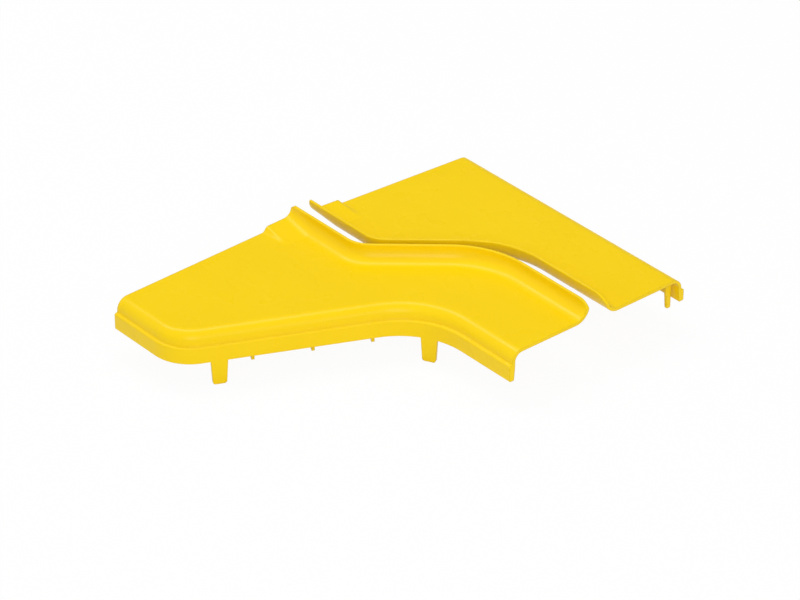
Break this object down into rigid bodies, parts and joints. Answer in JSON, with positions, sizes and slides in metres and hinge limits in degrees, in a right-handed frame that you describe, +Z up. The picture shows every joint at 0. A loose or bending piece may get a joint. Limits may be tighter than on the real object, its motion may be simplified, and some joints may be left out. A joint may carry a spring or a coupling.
{
  "type": "fibre raceway reducer split cover",
  "caption": "Two-part moulded cover for an offset fibre raceway reducer: flat tops with skirts, snap tabs and upturned curbs along an S-shaped seam.",
  "frame": {"origin": "centre of the laid-out cover's footprint, on the surface that the snap tabs stand on", "axes": "+X along the raceway from the wide end to the narrow end, +Y from the slanted front wall to the straight back wall, +Z up out of the flat tops"},
  "size_m": [0.2404, 0.3276, 0.0543],
  "materials": {
    "yellow_plastic": "satin moulded yellow plastic"
  },
  "bodies": {
    "root": {"front_cover_half": "yellow_plastic", "rear_cover_half": "yellow_plastic"}
  },
  "joints": []
}
